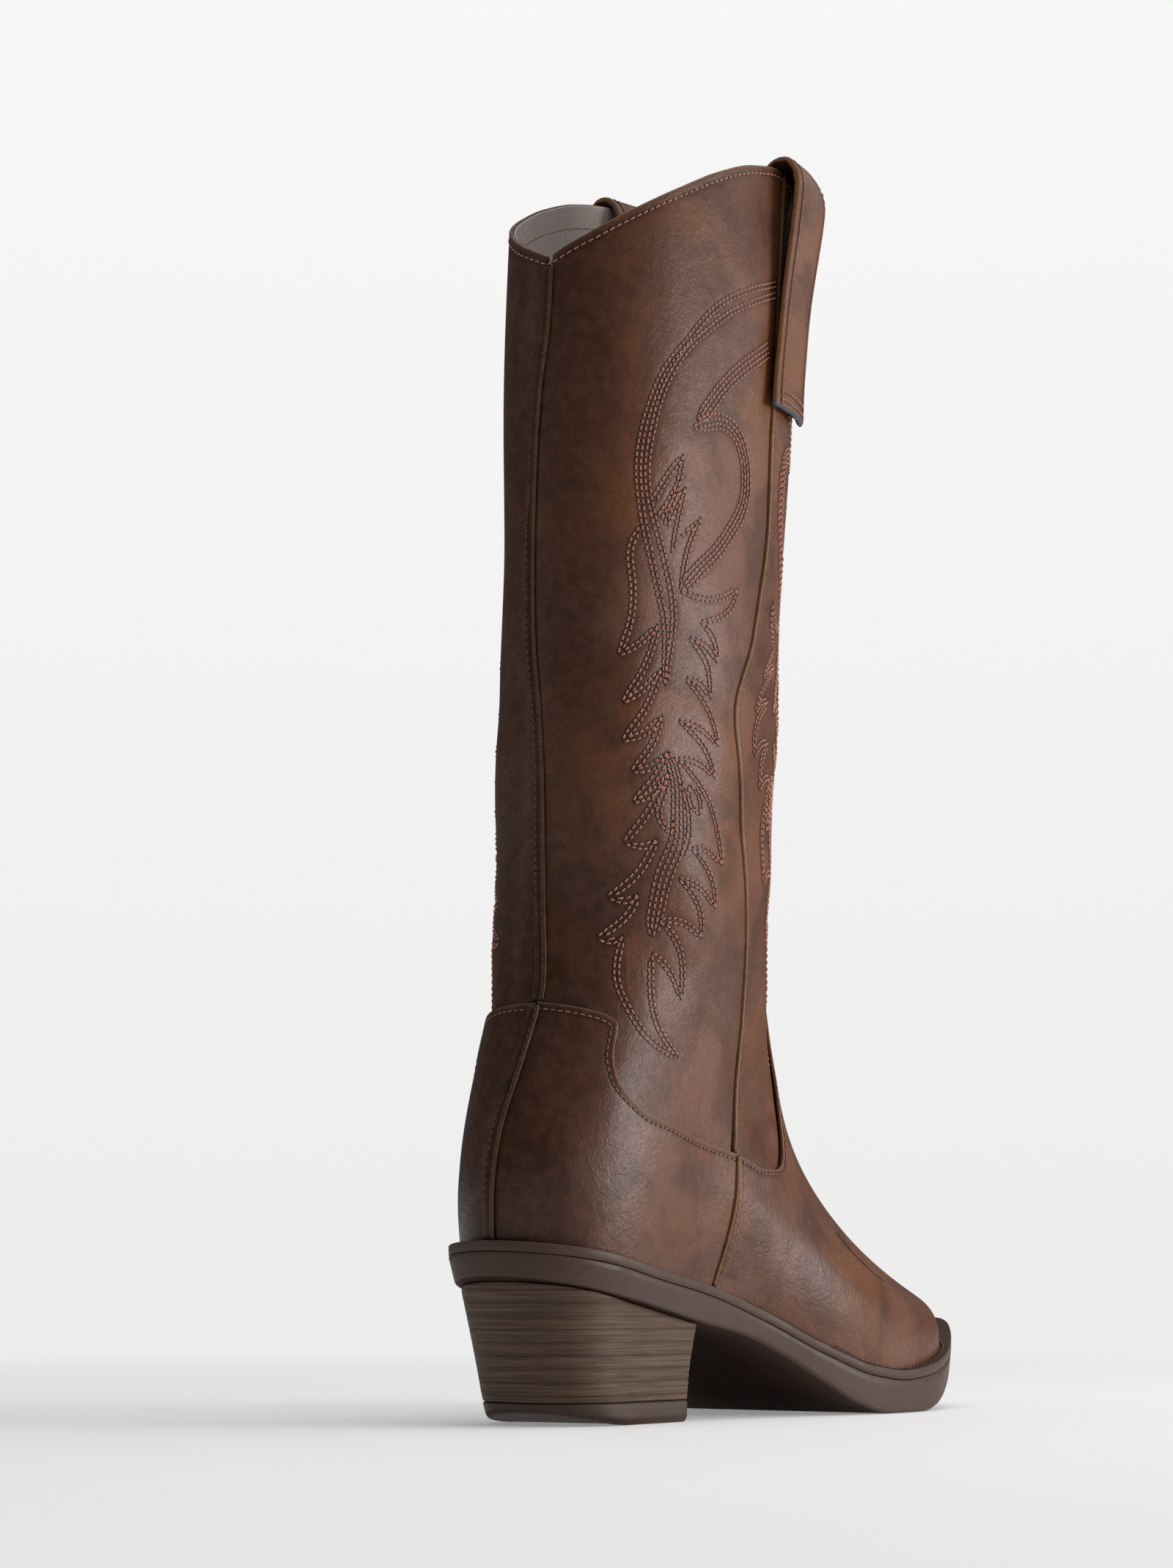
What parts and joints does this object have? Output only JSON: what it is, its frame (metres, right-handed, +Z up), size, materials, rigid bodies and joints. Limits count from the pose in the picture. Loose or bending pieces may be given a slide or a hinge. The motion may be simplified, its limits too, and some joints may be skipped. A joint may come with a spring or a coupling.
{
  "type": "western pull-on boot, right foot",
  "caption": "Knee-high western pull-on boot for the right foot: scalloped top, two pull straps, stitched shaft panels, square snip toe and a slanted stacked heel.",
  "frame": {"origin": "centre of the boot's bounding box, on the surface it stands on", "axes": "+Z up along the shaft, toe toward -Y, outer (lateral) side toward -X"},
  "size_m": [0.1117, 0.2795, 0.4428],
  "materials": {
    "shaft_leather": "burnished mid brown, satin",
    "foot_leather": "burnished mid brown, satin, a little shinier",
    "trim_leather": "tan-brown edge, satin",
    "lining_textile": "grey-brown woven lining, matt",
    "stiffener_board": "fibre board, matt",
    "foam": "pale foam, matt",
    "steel": "bright wire and strip",
    "welt_rubber": "dark brown, satin",
    "sole_rubber": "dark brown, satin",
    "stacked_heel": "grey-brown stacked layers, fine horizontal grain, satin",
    "top_lift_rubber": "dark brown, matt"
  },
  "bodies": {
    "root": {"vamp": "foot_leather", "counter_lateral": "foot_leather", "counter_medial": "foot_leather", "counter_back_strip": "trim_leather", "shaft_back_lateral": "shaft_leather", "shaft_back_medial": "shaft_leather", "shaft_front": "shaft_leather", "shaft_back_strip": "trim_leather", "side_piping_lateral": "trim_leather", "side_piping_medial": "trim_leather", "pull_strap_lateral": "foot_leather", "pull_strap_medial": "foot_leather", "topline_facing": "trim_leather", "shaft_lining": "lining_textile", "quarter_lining": "lining_textile", "vamp_lining": "lining_textile", "sock_lining": "lining_textile", "counter_stiffener": "stiffener_board", "toe_puff": "stiffener_board", "insole_board": "stiffener_board", "insole_foam": "foam", "bottom_filler": "foam", "shank": "steel", "welt": "welt_rubber", "outsole": "sole_rubber", "heel_block": "stacked_heel", "top_lift": "top_lift_rubber", "heel_screw": "steel", "heel_nail_1": "steel", "heel_nail_2": "steel", "heel_nail_3": "steel", "heel_nail_4": "steel"}
  },
  "joints": []
}
